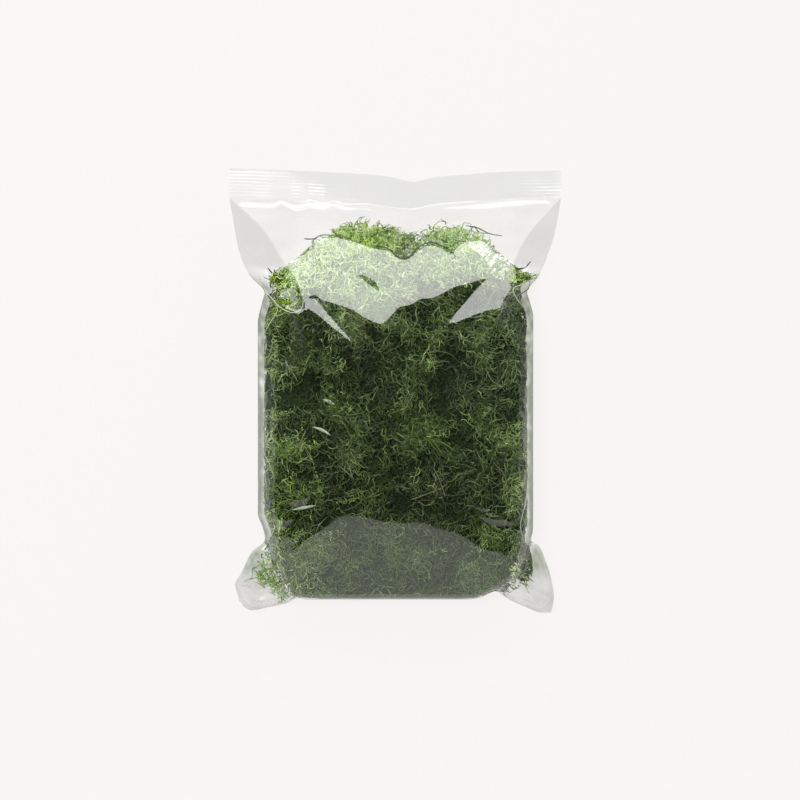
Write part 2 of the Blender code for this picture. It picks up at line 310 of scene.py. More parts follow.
def front_ridge(x, y):
    """The front film's height over the moss: up from the seal, over a crest and down to the foot."""
    straight = as_straight_ends(x, y)
    start, end = curve(CLIMB_START, x), curve(CLIMB_END, x)
    ripple = start - curve(CLIMB_TREND, x)
    steepening = curve(CLIMB_STEEPNESS, x) - SEAL_SLOPE
    low = SEAL_LEVEL + SEAL_SLOPE * ramp(HEAD - SEAL_HEIGHT - straight, 1)
    climb = low + steepening * (ramp(start - straight, 0.7) - ripple * step(2, 28, start - straight))
    top = SEAL_LEVEL + SEAL_SLOPE * (HEAD - SEAL_HEIGHT - end)
    top += steepening * (start - end - ripple * step(2, 28, start - end))
    short = np.maximum(plateau(end) - top, 0.5)
    settled = plateau(straight) - short * np.exp(-SETTLING_SLOPE * np.maximum(end - straight, 0) / short)
    middle = np.where(straight > end, climb, settled)
    shoulder = low + (SHOULDER_SLOPE - SEAL_SLOPE) * ramp(start - 2 - straight, 2)
    past = np.maximum(curve(LEFT_SHOULDER, y) - x, x - curve(RIGHT_SHOULDER, y))
    flank = middle - FLANK_SLOPE * ramp(past, 0.3)
    flank = flank + ramp(np.minimum(shoulder, middle) - flank, 0.3)
    waist = 8 * step(-10, 10, x)
    height = mix(middle, np.minimum(flank, middle), step(42, 47, y - waist))
    height = height - FALL_SLOPE * ramp(-35 - straight, 8)
    height = height - LOW_SLOPE * ramp(curve(FOOT_FALL, x) - straight, 1.2)
    at_foot = quarter_round((straight - BODY_FOOT) / FOOT_ROUNDING)
    return mix(curve(EDGE_LEVEL, y), height, at_foot) - head_sag(x, y)


def fold(x, y, start, end, peak, width, slope, tail):
    """A crease from start to end: a face of the given slope, widest at peak, and a long tail behind it.

    The face lies on the left of the way from start to end, and the tail on its right.
    """
    (x0, y0), (x1, y1) = start, end
    length = math.hypot(x1 - x0, y1 - y0)
    along_x, along_y = (x1 - x0) / length, (y1 - y0) / length
    run = np.clip(((x - x0) * along_x + (y - y0) * along_y) / length, 0, 1)
    across = (y - y0) * along_x - (x - x0) * along_y
    shape = np.clip(np.minimum(run / peak, (1 - run) / (1 - peak)), 0, 1)
    width_here = width * shape + 0.01
    face = np.clip(1 - across / width_here, 0, 1)
    back = np.exp(np.minimum(across, 0) / tail)
    inside = (run > 0) & (run < 1)
    return np.where(inside, slope * width_here * np.where(across > 0, face, back), 0)


# Creases of the front film: start, end, where the lit face is widest, its width and slope, the tail's length
FOLDS = (
    ((-54, 49.2), (-12.5, 15.8), 0.17, 6.8, 0.4, 8),
    ((20.5, 29.5), (70, 58.8), 0.66, 11.6, 0.34, 30),
    ((30, 35.6), (68, 48), 0.57, 5.7, 0.43, 8),
    ((-20.5, 63.5), (0.5, 43), 0.36, 2.8, -0.44, 5),
    ((-67.5, 53.5), (-49.5, 43.4), 0.5, 7.4, 0.28, 3),
    ((-44, -55), (-58, -61), 0.5, 6, 0.46, 12),
    ((-50, -66), (-73, -72), 0.5, 6, 0.46, 12),
    ((-46, -74), (-68, -84), 0.5, 4.4, 0.44, 8),
    ((66, -71), (40, -65), 0.5, 4.8, 0.46, 10),
    ((56, -64), (38, -60), 0.5, 3.6, 0.46, 8),
)


def film_front(x, y):
    """The outer height of the front film."""
    level = edge_level(x, y)
    full = fullness(x, y)
    rise = np.maximum(front_ridge(x, y) - level, 0)
    inner = step(0, 0.5, full)
    for crease in FOLDS:
        rise = rise + fold(x, y, *crease) * inner
    body = step(40, 6, y) * (0.25 + 0.75 * step(-66, -52, y)) * inner
    body = body * (1 - 0.85 * step(-50, -30, y) * step(36, 48, np.abs(x)))
    rise = rise + body * (0.45 * waves(x, y, 0, 19, 3) + 0.16 * waves(x, y, 0, 8, 8))
    side = step(0.9, 0.35, full) * step(0.02, 0.25, full) * (1 - 0.5 * step(0, 12, y))
    rise = rise + side * (0.60 * waves(x * 1.8, y, 0, 13, 29) + 0.30 * waves(x * 1.6, y, 0, 5.5, 31))
    below_seal = np.maximum(seal_edge(x) - y, 0)
    pleats = np.exp(-below_seal / 16) * step(0, 3, below_seal) * np.sin(x / 4.1 + 2.2 * np.sin(x / 17))
    rise = rise + 0.5 * pleats * (0.55 + 0.45 * waves(x, y * 0.15, 0, 46, 21))
    width = 4.2 + 1.6 * waves(x, 0, 0, 21, 23)
    puff = np.minimum(below_seal, width) * np.exp(-ramp(below_seal - width, 1) / 18)
    off_middle = 1 - np.exp(-((x - 4) / 24) ** 2)
    rise = rise + PUFF_SLOPE * puff * off_middle * step(88, 78, np.abs(x))
    rise = np.maximum(rise, 0) * full * step(0, 5, below_seal)
    return level + np.maximum(rise, corner_puff(x, y))


def film_back(x, y):
    """The outer height of the back film, pressed flat where the bag lies on it."""
    level = edge_level(x, y)
    ridge = curve(BACK_RIDGE, as_straight_ends(x, y)) - head_sag(x, y)
    drop = np.maximum(level - ridge, 0) * fullness(x, y)
    wrinkle = 0.5 * waves(x, y, 0, 21, 17) * step(1, 5, level - drop)
    drop = np.maximum(drop, corner_puff(x, y) * 0.8)
    return np.maximum(level - drop + wrinkle * step(0, 4, drop), 0)


def outline_point(across, along, left, right, head, foot):
    """Place (across, along), each 0 to 1, inside four edges: along runs from the head to the foot."""
    head_left, head_right = curve(left, curve(head, -FAR)), curve(right, curve(head, FAR))
    foot_left, foot_right = curve(left, curve(foot, -FAR)), curve(right, curve(foot, FAR))
    y_left = mix(curve(head, head_left), curve(foot, foot_left), along)
    y_right = mix(curve(head, head_right), curve(foot, foot_right), along)
    x = mix(curve(left, y_left), curve(right, y_right), across)
    y_head = curve(head, mix(head_left, head_right, across))
    y_foot = curve(foot, mix(foot_left, foot_right, across))
    return x, mix(y_head, y_foot, along)


def film_point(across, along):
    return outline_point(across, along, LEFT_SIDE, RIGHT_SIDE, SEAL_EDGE, FOOT)


def moss_point(across, along):
    return outline_point(across, along, MOSS_LEFT, MOSS_RIGHT, MOSS_HEAD, MOSS_FOOT)


def crowd_to_ends(share, strength):
    """Shares from 0 to 1 that lie closer together near both ends."""
    return share - strength * np.sin(2 * math.pi * share) / (2 * math.pi)


# Making meshes
def deselect():
    if bpy.context.object is not None and bpy.context.object.mode != "OBJECT":
        bpy.ops.object.mode_set(mode="OBJECT")
    bpy.ops.object.select_all(action="DESELECT")


def mesh_from_arrays(name, points, quads, triangles=None):
    """A mesh object from an array of points in millimetres and arrays of faces."""
    mesh = bpy.data.meshes.new(name)
    faces = [np.asarray(quads, np.int32).reshape(-1, 4)]
    if triangles is not None:
        faces.append(np.asarray(triangles, np.int32).reshape(-1, 3))
    corners = np.concatenate([f.ravel() for f in faces])
    counts = np.concatenate([np.full(len(f), f.shape[1], np.int32) for f in faces])
    starts = np.concatenate([[0], np.cumsum(counts)[:-1]]).astype(np.int32)
    mesh.vertices.add(len(points))
    mesh.vertices.foreach_set("co", (np.asarray(points) * MM).astype(np.float32).ravel())
    mesh.loops.add(len(corners))
    mesh.loops.foreach_set("vertex_index", corners)
    mesh.polygons.add(len(counts))
    mesh.polygons.foreach_set("loop_start", starts)
    mesh.polygons.foreach_set("use_smooth", np.ones(len(counts), bool))
    mesh.update(calc_edges=True)
    piece = bpy.data.objects.new(name, mesh)
    bpy.context.collection.objects.link(piece)
    return piece


def vertex_places(piece):
    """A mesh's points in metres."""
    places = np.empty(len(piece.data.vertices) * 3)
    piece.data.vertices.foreach_get("co", places)
    return places.reshape(-1, 3)


def write_attribute(piece, name, values):
    layer = piece.data.attributes.new(name, "FLOAT", "POINT")
    layer.data.foreach_set("value", np.asarray(values, np.float32))


def closed_sheet(name, columns, rows, surface):
    """Two grids joined at their rims: surface(across, along, face) places the points of each."""
    halves = []
    for face in (1, -1):
        deselect()
        bpy.ops.mesh.primitive_grid_add(x_subdivisions=columns, y_subdivisions=rows, size=1)
        half = bpy.context.object
        places = vertex_places(half)
        points = surface(places[:, 0] + 0.5, 0.5 - places[:, 1], face) * MM
        half.data.vertices.foreach_set("co", points.ravel())
        if face < 0:
            half.data.flip_normals()
        halves.append(half)
    deselect()
    for half in halves:
        half.select_set(True)
    bpy.context.view_layer.objects.active = halves[0]
    bpy.ops.object.join()
    sheet = bpy.context.object
    sheet.name = sheet.data.name = name
    bpy.ops.object.mode_set(mode="EDIT")
    bpy.ops.mesh.select_all(action="SELECT")
    bpy.ops.mesh.remove_doubles(threshold=0.00001)
    bpy.ops.mesh.normals_make_consistent(inside=False)
    bpy.ops.object.mode_set(mode="OBJECT")
    bpy.ops.object.shade_smooth_by_angle(angle=1)
    return sheet


def at_rim(across, along):
    return (across < 1e-6) | (across > 1 - 1e-6) | (along < 1e-6) | (along > 1 - 1e-6)


def film_surface(across, along, face):
    rim = at_rim(across, along)
    x, y = film_point(crowd_to_ends(across, 0.72), crowd_to_ends(along, 0.25))
    height = film_front(x, y) if face > 0 else film_back(x, y)
    height = np.where(along < 1e-6, seal_height(x, y), height)
    return np.stack([x, y, height + np.where(rim, 0, face * LAYER_GAP)], 1)


def seal_height(x, y):
    """The seal's mid height, with ribs that are deep at its ends and fade over its middle."""
    below_head = seal_top(x) - y
    pressed = step(0.4, 1.2, below_head) * step(0, 1.6, y - seal_edge(x))
    lean = below_head * 2.2
    depth = np.maximum(1.15 * step(-26, -70, x - lean), 0.5 * step(62, 88, x + lean))
    patchy = 0.5 + 0.5 * waves(x, y * 6, 0, 40, 61)
    depth = 0.12 + 0.88 * depth * (0.5 + 0.5 * patchy) + 0.25 * np.clip(patchy - 0.5, 0, 1)
    ribs = RIB_DEPTH * pressed * depth * np.sin(2 * math.pi * below_head / RIB_PITCH)
    return edge_level(x, y) + ribs + 0.5 * waves(x, y * 0.3, 0, 60, 5)


def seal_surface(across, along, face):
    rim = at_rim(across, along)
    x = (across - 0.5) * FLAT_WIDTH
    y = seal_top(x) - (seal_top(x) - seal_edge(x) + 0.3) * along
    return np.stack([x, y, seal_height(x, y) + np.where(rim, 0, face * LAYER_GAP)], 1)


def make_seal():
    """The head seal: both layers pressed together, cloudier over its middle than at its ends."""
    seal = closed_sheet("bag_seal", *SEAL_CELLS, seal_surface)
    x, y, z = vertex_places(seal).T / MM
    lean = (seal_top(x) - y) * 2.2
    cloudy = (0.3 + 0.7 * step(-78, -50, x - lean)) * step(92, 84, x)
    streaks = waves(x * 0.12, y, 0, 5, 71) * step(-20, -60, x)
    write_attribute(seal, "greying", np.clip(cloudy * (0.96 + 0.06 * waves(x, y, 0, 30, 73))
                                           + 0.35 * streaks, 0, 1.2))
    return seal


def make_film():
    """The bag's clear film: front and back in one closed sheet, up to the seal's lower edge.

    Its attributes say where it greys what shows through it, where its steep sides carry a mottled painted
    shade of grey-green that grows with the angle, and where it mirrors less (dull).
    """
    film = closed_sheet("bag_film", *FILM_CELLS, film_surface)
    x, y, z = vertex_places(film).T / MM
    full = fullness(x, y)
    outside = np.maximum(curve(LEFT_TRIANGLE, y) - x, x - curve(RIGHT_TRIANGLE, y))
    # How far the film greys what shows through it: over the triangles beside the head, the clear foot
    # corners and, faintly, the header
    roof = step(-0.4, 0.8, outside) * step(64, 70, y) * (0.235 + 0.02 * waves(x, y, z, 18, 81))
    ears = step(-84, -96, y) * step(0.3, 0, full) * (0.44 + 0.10 * waves(x, y, z, 12, 83))
    header = step(66, 84, y) * (0.03 + 0.035 * waves(x * 0.2, y, 0, 7, 87))
    write_attribute(film, "greying", np.clip(np.maximum.reduce([roof, ears, header]), 0, 1))
    # Painted shade: a mottled grey-green shade where the film turns down at the body's sides
    along_body = step(66, 44, y) * step(-104, -92, y)
    mottled = 0.6 * waves(x * 2.4, y, 0, 17, 85) + 0.5 * waves(x * 1.8, y, 0, 6, 86)
    by_side = step(0.88, 0.5, full) * (0.30 + 0.30 * mottled)
    by_side = by_side + step(0.62, 0.3, full) * (0.84 + 0.46 * mottled)
    write_attribute(film, "side_shade", np.clip(by_side * along_body, 0, 1.6))
    under = step(0, 1.5, edge_level(x, y) - z) * step(64, 52, y) * step(0.02, 0.2, full)
    waist = 10 * step(-10, 10, x)
    wall = step(1, 0.85, full) * step(26, 38, y) * step(50, 44, y - waist)
    below_seal = seal_edge(x) - y
    puffed = (0.55 + 0.25 * step(1, 7, below_seal)) * step(9.5, 7, below_seal)
    pouch = in_shoulders(np.stack([x, y, z], -1))
    write_attribute(film, "dull", np.maximum.reduce([0.86 * under, 0.6 * wall, puffed, 0.4 * pouch]))
    return film


# The moss
UP = (0, 0, 1)
FROND_LENGTH = 16.5
BRANCHLETS = 8
STEM_POINTS = 8
BRANCHLET_POINTS = 4
CURL_POINTS = 6
TIP_POINTS = 7
STEM_RADIUS = (0.34, 0.50)
BRANCHLET_RADIUS = (0.31, 0.45)
CURL_RADIUS = (0.31, 0.50)
TIP_RADIUS = (0.26, 0.36)
SLIVER_ROWS = 9
SLIVER_HALF_WIDTH = 0.85

# The moss's tone and hue on the climb towards the head, at five places from left to right; the tone is
# painted light
CLIMB_PLACES = (-46, -18, -4, 16, 48)
CLIMB_TONES = (0.83, 0.80, 0.69, 0.73, 0.82)
CLIMB_HUES = (0.06, 0.06, 0, 0.02, 0.02)


class Room:
    """The space inside the film, read from a fine table of both films' heights."""
    PITCH = 0.5

    def __init__(self):
        self.low = (-92, -121)
        grid = np.meshgrid(np.arange(self.low[0], 92, self.PITCH), np.arange(self.low[1], 106, self.PITCH),
                           indexing="ij")
        self.front, self.back = film_front(*grid), film_back(*grid)

    def read(self, table, x, y):
        """A film's height at each place, between the table's four nearest."""
        u = np.clip((x - self.low[0]) / self.PITCH, 0, table.shape[0] - 1.001)
        v = np.clip((y - self.low[1]) / self.PITCH, 0, table.shape[1] - 1.001)
        i, j = u.astype(int), v.astype(int)
        u, v = u - i, v - j
        return (table[i, j] * (1 - u) * (1 - v) + table[i + 1, j] * u * (1 - v)
                + table[i, j + 1] * (1 - u) * v + table[i + 1, j + 1] * u * v)

    def between(self, x, y):
        """The front and back film's heights."""
        return self.read(self.front, x, y), self.read(self.back, x, y)

    def keep(self, points, margin):
        """Move points that reach past a film back inside it, each at least its margin away."""
        x, y, z = points[..., 0], points[..., 1], points[..., 2]
        side = 1 + 0.3 * margin
        by_moss = step(-104, -100, y) * step(62, 56, y)
        left = curve(LEFT_SIDE, y) + side
        right = curve(RIGHT_SIDE, y) - side
        left += (np.maximum(curve(MOSS_LEFT, y) + 0.3 * margin, left) - left) * by_moss
        right += (np.minimum(curve(MOSS_RIGHT, y) - 0.3 * margin, right) - right) * by_moss
        x = np.clip(x, left, right)
        y = np.maximum(y, curve(FOOT, x) + side)
        reach = 0.3 + 1.1 * (1 + np.sin(x[..., :1] * 1000))
        beyond = (y - curve(MOSS_HEAD, x)).max(axis=-1, keepdims=True) - reach
        y = y - np.maximum(beyond, 0)
        front, back = self.between(x, y)
        top, bottom = front - margin, back + margin
        inside = np.clip(z, np.minimum(bottom, top), np.maximum(top, bottom))
        return np.stack([x, y, np.where(top > bottom, inside, (top + bottom) / 2)], -1)


def from_rim(across, along, reach):
    """How far the moss has risen to its full thickness, from 0 at its rim to 1 at reach inside it."""
    edge = 2 * np.minimum(np.minimum(across, 1 - across) * HALF_BODY, np.minimum(along, 1 - along) * HEAD)
    return quarter_round(edge / reach)


def moss_surface(face):
    """The moss's outer surface on one face as a grid of points, falling to the middle at its rim."""
    shares = [np.linspace(0, 1, count + 1) for count in MOSS_CELLS]
    across, along = np.meshgrid(*shares, indexing="ij")
    across, along = crowd_to_ends(across, 0.7), crowd_to_ends(along, 0.5)
    x, y = moss_point(across, along)
    top, bottom = ROOM.between(x, y)
    half = np.maximum((top - bottom) / 2 - 0.5, 0.1)
    z = (top + bottom) / 2 + face * half * from_rim(across, along, 7 if face > 0 else 3.5)
    return np.stack([x, y, z], -1)


def tuft_relief(points):
    """How deep the moss is hollowed at a place: 0 on a tuft and 1 in a hollow between tufts."""
    x, y, z = points[..., 0], points[..., 1], points[..., 2]
    return np.clip(0.5 + 0.33 * waves(x, y, z, 26, 41) + 0.40 * waves(x, y, z, 12, 43), 0, 1)


def spots_on(surface, count, rng, density):
    """Pick count places on a grid surface, evenly by area times density, with a frame at each."""
    across = surface[1:, :-1] - surface[:-1, :-1]
    along = surface[:-1, 1:] - surface[:-1, :-1]
    normal = np.cross(along, across)
    area = np.linalg.norm(normal, axis=-1)
    weight = (area * density(surface[:-1, :-1])).ravel()
    chosen = rng.choice(weight.size, size=count, p=weight / weight.sum())
    i, j = np.unravel_index(chosen, area.shape)
    u, v = rng.random((2, count, 1))
    place = surface[i, j] + u * across[i, j] + v * along[i, j]
    out = normal[i, j] / np.maximum(area[i, j], 1e-6)[:, None]
    return place, out


def frames_for(out, rng):
    """Two directions square to each outward direction, turned at random."""
    count = len(out)
    helper = rng.normal(size=(count, 3))
    first = unit(np.cross(out, helper))
    return first, np.cross(out, first)


def flow(points, rng, spread):
    """The direction in which the moss lies at each place, the same over a tuft, with some spread."""
    x, y, z = points[..., 0], points[..., 1], points[..., 2]
    angle = 2.6 * waves(x, y, z, 44, 47) + 1.2 * waves(x, y, z, 17, 49)
    angle = angle + rng.normal(0, spread, len(points))
    return np.stack([np.cos(angle), np.sin(angle), np.zeros(len(points))], 1)


def curly_lines(place, out, rng, length, turn, points, heading=None):
    """Curly centre lines of strands that start at place and run square to out."""
    count = len(place)
    first, second = frames_for(out, rng)
    if heading is not None:
        first = unit(heading)
        second = np.cross(out, first)
    share = np.linspace(0, 1, points)[None, :]
    bend = rng.normal(0, turn, (count, 1))
    swing = rng.uniform(0.4, 1.3, (count, 1)) * np.sin(
        2 * math.pi * (rng.uniform(0.5, 1.6, (count, 1)) * share + rng.random((count, 1))))
    angle = bend * share + swing
    stride = (length / (points - 1))[:, None]
    run = np.cumsum(np.cos(angle) * stride, 1) - np.cos(angle[:, :1]) * stride
    drift = np.cumsum(np.sin(angle) * stride, 1) - np.sin(angle[:, :1]) * stride
    rise = length[:, None] * rng.uniform(0.04, 0.16, (count, 1)) * np.sin(
        2 * math.pi * (rng.uniform(0.5, 1.4, (count, 1)) * share + rng.random((count, 1))))
    return (place[:, None] + run[..., None] * first[:, None] + drift[..., None] * second[:, None]
            + rise[..., None] * out[:, None])


def strands(lines, radius, sides=3, slender=0.78):
    """Tubes along centre lines, thinner towards their tips: points and faces of closed strands."""
    count, points = lines.shape[:2]
    way = unit(np.gradient(lines, axis=1))
    side = unit(np.cross(way, np.broadcast_to((0.31, 0.17, 0.93), way.shape)))
    up = np.cross(side, way)
    share = np.linspace(0, 1, points)
    taper = (0.55 + 0.45 * np.sin(math.pi * np.minimum(share * 1.6, 0.5))) * (1 - slender * share ** 2.2)
    size = (radius[:, None] * taper[None, :])[..., None]
    angles = 2 * math.pi * np.arange(sides) / sides
    rings = [lines + (math.cos(angle) * side + math.sin(angle) * up) * size for angle in angles]
    verts = np.stack(rings, 2).reshape(-1, 3)
    base = np.arange(count)[:, None, None] * points * sides + np.arange(points - 1)[:, None] * sides
    here = base + np.arange(sides)
    after = base + (np.arange(sides) + 1) % sides
    quads = np.stack([here, here + sides, after + sides, after], -1).reshape(-1, 4)
    first = base[:, 0, 0]
    last = first + (points - 1) * sides
    caps = np.concatenate([cap for number in range(1, sides - 1) for cap in (
        np.stack([first, first + number, first + number + 1], 1),
        np.stack([last + number + 1, last + number, last], 1))])
    return verts, quads, caps


class Tangle:
    """Strands gathered into one joined mesh, with the tone of each."""

    def __init__(self):
        self.points, self.quads, self.caps, self.tones, self.hues, self.total = [], [], [], [], [], 0

    def add(self, lines, radius, tone, hue=None, sides=3, slender=0.78):
        verts, quads, caps = strands(lines, radius, sides, slender)
        self.points.append(verts)
        self.quads.append(quads + self.total)
        self.caps.append(caps + self.total)
        self.tones.append(np.repeat(tone, lines.shape[1] * sides))
        self.hues.append(np.repeat(np.zeros(len(lines)) if hue is None else hue, lines.shape[1] * sides))
        self.total += len(verts)

    def make(self, name):
        piece = mesh_from_arrays(name, np.concatenate(self.points), np.concatenate(self.quads),
                                 np.concatenate(self.caps))
        write_attribute(piece, "tone", np.concatenate(self.tones))
        write_attribute(piece, "hue", np.concatenate(self.hues))
        return piece


def under_climb(points):
    """How far a place is up the film's climb towards the head, where light comes in through the thin end."""
    x, y = points[..., 0], points[..., 1]
    return step(-4, 12, y - curve(CLIMB_END, x)) * (1 - in_shoulders(points))


def in_shoulders(points):
    """How far a place is inside the bag's shoulders, where a greener moss is seen through clear film."""
    x, y = points[..., 0], points[..., 1]
    left = step(-1, 1, curve(LEFT_SHOULDER, y) - x) * step(43, 48, y)
    right = step(-1, 1, x - curve(RIGHT_SHOULDER, y)) * step(50, 56, y)
    return np.maximum(left, right)


def in_ears(points):
    """How far a place is outside the body's own side near the foot, in the film's clear corner."""
    x, y = points[..., 0], points[..., 1]
    outside = np.maximum(body_side(-1, y) - x, x - body_side(1, y))
    return step(-1.5, 1, outside) * step(-78, -84, y)


def across_climb(points, values):
    """A value that changes across the head end, given at five places from left to right."""
    return np.interp(points[..., 0], CLIMB_PLACES, values)


def moss_tone(tone, points, rng):
    """The tone in the moss's middle, with painted light under the climb and in the shoulders, and changed at
    the foot.
    """
    count = len(points)
    climb, shoulders = under_climb(points), in_shoulders(points)
    foot = step(-2, -10, points[:, 1] - curve(FOOT_FALL, points[:, 0]))
    leftward = step(-10, -50, points[:, 0])
    lowest = step(-102, -108, points[:, 1])
    even = 0.56 + 0.10 * leftward + 0.02 * lowest + rng.normal(0, 0.07, count)
    tone = mix(tone, even, 0.62 * foot)
    tone = mix(tone, across_climb(points, CLIMB_TONES) + rng.normal(0, 0.07, count), climb)
    tone = mix(tone, 0.65 + rng.normal(0, 0.12, count), shoulders)
    return mix(tone, 0.90 + rng.normal(0, 0.06, count), in_ears(points))


def moss_hue(points, rng):
    """From -1 for dry olive moss to 1 for vivid green, changing from tuft to tuft."""
    x, y, z = points[..., 0], points[..., 1], points[..., 2]
    climb, shoulders = under_climb(points), in_shoulders(points)
    hue = 0.14 + 0.34 * waves(x, y, z, 34, 53) + rng.normal(0, 0.24, len(points))
    hue = mix(hue, across_climb(points, CLIMB_HUES) + 0.3 * (hue - 0.14), climb)
    left_lobe = step(-3, 1, y - curve(CLIMB_START, x)) * step(0, -10, x)
    hue = hue + 0.45 * left_lobe
    return np.clip(mix(hue, 0.92, shoulders), -1, 1)


def add_fronds(tangle, place, out, rng, size, margin, tone, hue, heading=None, thick=1):
    """Feathery fronds: a curly stem with curly branchlets along both sides."""
    count = len(place)
    length = size * rng.uniform(0.75, 1.3, count)
    stems = ROOM.keep(curly_lines(place, out, rng, length, 0.8, STEM_POINTS, heading), margin[:, None])
    tangle.add(stems, rng.uniform(*STEM_RADIUS, count) * thick, tone, hue)
    for number in range(BRANCHLETS):
        share = (number + 0.7) / (BRANCHLETS + 0.6)
        at = share * (STEM_POINTS - 1)
        index, part = int(at), at - int(at)
        root = stems[:, index] * (1 - part) + stems[:, index + 1] * part
        way = unit(stems[:, index + 1] - stems[:, index])
        across = np.cross(out, way) * (1 if number % 2 else -1)
        go = way * rng.uniform(0.5, 1.4, (count, 1)) + across + out * rng.uniform(-0.3, 0.5, (count, 1))
        reach = length * (0.36 - 0.18 * share) * rng.uniform(0.7, 1.3, count)
        lines = curly_lines(root, out, rng, reach, 1.1, BRANCHLET_POINTS, go)
        lines = ROOM.keep(lines, margin[:, None] * 0.8)
        lighter = np.clip(tone + 0.05 + 0.1 * rng.random(count), 0, 1)
        tangle.add(lines, rng.uniform(*BRANCHLET_RADIUS, count) * thick, lighter, hue)


def layer_tone(place, relief, rng):
    """Dark in the hollows with painted shade and lighter on the tufts, at the body's sides and towards its
    foot.
    """
    x, y = place[:, 0], place[:, 1]
    tone = 0.56 - 0.42 * relief + rng.normal(0, 0.11, len(place))
    from_side = np.minimum(x - body_side(-1, y), body_side(1, y) - x)
    by_left = step(0, -20, x)
    tone = tone + (0.13 + 0.09 * by_left) * step(24, 6, from_side)
    tone = tone + 0.06 * step(-42, -60, y) + 0.05 * step(16, 32, y)
    tone = np.clip(tone, 0.04, 0.70) + 0.14 * by_left * step(9, 6, from_side)
    return np.clip(moss_tone(tone, place, rng), 0.04, 1)


def moss_body(name, face, frond_count, curl_count, seed):
    """One layer of moss under a film: fronds and loose curls, sunk in the hollows between tufts."""
    rng = np.random.default_rng(seed)
    surface = moss_surface(face)
    tangle = Tangle()

    def density(points):
        x, y = points[..., 0], points[..., 1]
        lobe = step(78, 85, y) * step(4, 12, x)
        inwards = np.minimum.reduce([x - body_side(-1, y), body_side(1, y) - x, y - curve(FOOT, x)])
        unseen = step(16, 34, inwards) if face < 0 else 0
        sparse = (1 - 0.80 * lobe) * (1 - 0.93 * unseen) * (1 - 0.80 * in_ears(points))
        return ((0.15 if face > 0 else 0.6) + (1 - tuft_relief(points)) ** 2) * sparse

    for count, kind in ((frond_count, "frond"), (curl_count, "curl")):
        place, out = spots_on(surface, count, rng, density)
        out = out * np.sign(out[:, 2:] * face + 1e-9)
        relief = tuft_relief(place)
        depth = 0.5 + 5 * relief ** 1.3 + rng.exponential(0.9, count)
        depth = depth * (1 - 0.6 * under_climb(place)) * (1 if face > 0 else 0.25)
        tone = layer_tone(place, relief, rng)
        hue = moss_hue(place, rng)
        place = place - out * depth[:, None]
        margin = np.minimum(depth * 0.8, 5) + 0.35
        if kind == "frond":
            heading = flow(place, rng, 0.5)
            add_fronds(tangle, place, out, rng, FROND_LENGTH, margin, tone, hue, heading)
        else:
            length = rng.gamma(6, 1.55, count)
            lines = curly_lines(place, out, rng, length, 1.7, CURL_POINTS, flow(place, rng, 0.9))
            tangle.add(ROOM.keep(lines, margin[:, None]), rng.uniform(*CURL_RADIUS, count), tone, hue)
    return tangle.make(name)


def moss_rim(name, seed):
    """Loose tips and small curls round the clump's outline that stand out into the clear film."""
    rng = np.random.default_rng(seed)
    tangle = Tangle()
    for count, kind in ((560, "frond"), (1040, "curl")):
        x = -66 + 131 * rng.random(count) ** 1.1
        x = x[rng.random(count) < 1 - 0.16 * step(2, -4, x) - 0.30 * step(31, 36, x)]
        count = len(x)
        gradient = curve(MOSS_HEAD, x + 0.5) - curve(MOSS_HEAD, x - 0.5)
        outward = unit(np.stack([-gradient, np.ones(count), np.zeros(count)], 1))
        inside = 2.6 + 15 * rng.random(count) ** 0.9
        place = np.stack([x, curve(MOSS_HEAD, x), np.zeros(count)], 1) - outward * inside[:, None]
        top, bottom = ROOM.between(place[:, 0], place[:, 1])
        place[:, 2] = bottom + (top - bottom) * rng.uniform(0.30, 0.95, count)
        heading = outward + rng.normal(0, 0.9, (count, 3)) * [1, 1, 0.15]
        up = np.tile(UP, (count, 1))
        lobe = step(-36, -30, x) * step(0, -8, x)
        shoulders = in_shoulders(place)
        # Painted light: the rim lies at the thin head end, where light comes in, so its strands are made
        # pale
        tone = 0.96 + rng.normal(0, 0.07, count)
        tone = np.clip(mix(tone, 0.68, shoulders), 0.3, 1)
        hue = 0.12 + 0.44 * lobe + rng.normal(0, 0.18, count)
        hue = np.clip(mix(hue, 0.9, shoulders), -1, 1)
        margin = np.full(count, 0.7)
        if kind == "frond":
            size = np.clip(inside * 0.7, 2.2, 5.4)
            add_fronds(tangle, place, up, rng, size, margin, tone, hue, heading, 0.72)
        else:
            length = rng.uniform(2.6, 5.6, count)
            lines = curly_lines(place, up, rng, length, 3.4, TIP_POINTS, heading)
            tangle.add(ROOM.keep(lines, margin[:, None]), rng.uniform(*TIP_RADIUS, count), tone, hue)
    return tangle.make(name)


# Tufts in the shoulders and foot corners, and crumbs along the film's sides: place, half size, heading,
# number of fronds, their length, tone and hue; the shoulder tufts' tones are painted light
TUFTS = (
    ((-55.5, 57.5), (4.4, 9.5), (0.1, 1), 60, 5, 0.61, 1),
    ((-64.5, 58), (3.6, 7), (-0.4, 1), 14, 4, 0.68, 0.9),
    ((65.5, 59.5), (4.2, 6.5), (0.3, 1), 46, 4.5, 0.82, 1),
    ((-57, 72), (3.6, 3.4), (-0.5, 1), 12, 3.4, 0.92, 0.3),
    ((-68.5, -96), (6.5, 9.5), (-0.6, -0.9), 60, 3.6, 1, 0.35),
    ((-60.5, -107), (8, 4.6), (-0.4, -1), 44, 3.4, 1, 0.3),
    ((64.8, -97), (4.2, 6.8), (0.6, -0.8), 38, 3.4, 0.96, 0.2),
    ((-71.6, -10), (1.4, 58), (0.1, 1), 30, 3.2, 0.8, 0.1),
    ((71.6, -10), (1.4, 58), (-0.1, 1), 30, 3.2, 0.76, -0.2),
    ((-69.6, 44.5), (1.6, 7), (0, 1), 8, 3, 0.3, -0.4),
    ((71, 45), (1.6, 7), (0, 1), 9, 3, 0.3, -0.4),
    ((-72, -84), (1.6, 5), (0, -1), 7, 3, 0.4, 0.2),
    ((72, -78), (1.4, 4), (0, -1), 7, 3, 0.4, 0.6),
)


